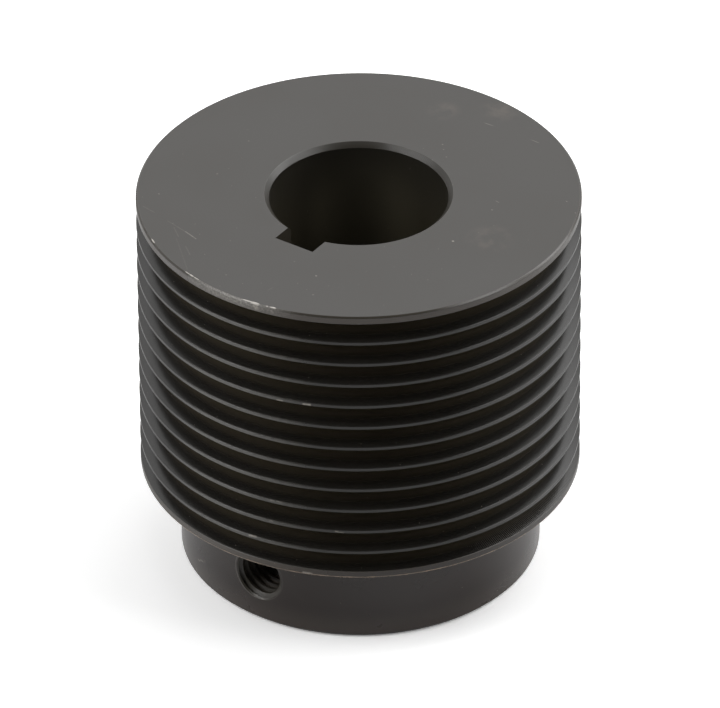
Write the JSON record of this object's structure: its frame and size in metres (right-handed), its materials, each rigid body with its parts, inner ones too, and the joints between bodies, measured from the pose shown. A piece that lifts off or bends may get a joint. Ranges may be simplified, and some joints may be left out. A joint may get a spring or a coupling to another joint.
{
  "type": "ribbed-belt pulley",
  "caption": "One-piece steel multi-groove ribbed-belt pulley with a plain hub, keyed bore and radial set-screw hole, for an engine or motor shaft.",
  "frame": {"origin": "on the bore's axis, in the plane of the hub's end face", "axes": "+Z along the bore from the hub to the rim's face; the keyway and the set-screw hole face -Y"},
  "size_m": [0.0632, 0.0632, 0.0589],
  "materials": {
    "black_steel": "turned steel with a satin black oxide finish"
  },
  "bodies": {
    "root": {"pulley": "black_steel"}
  },
  "joints": []
}
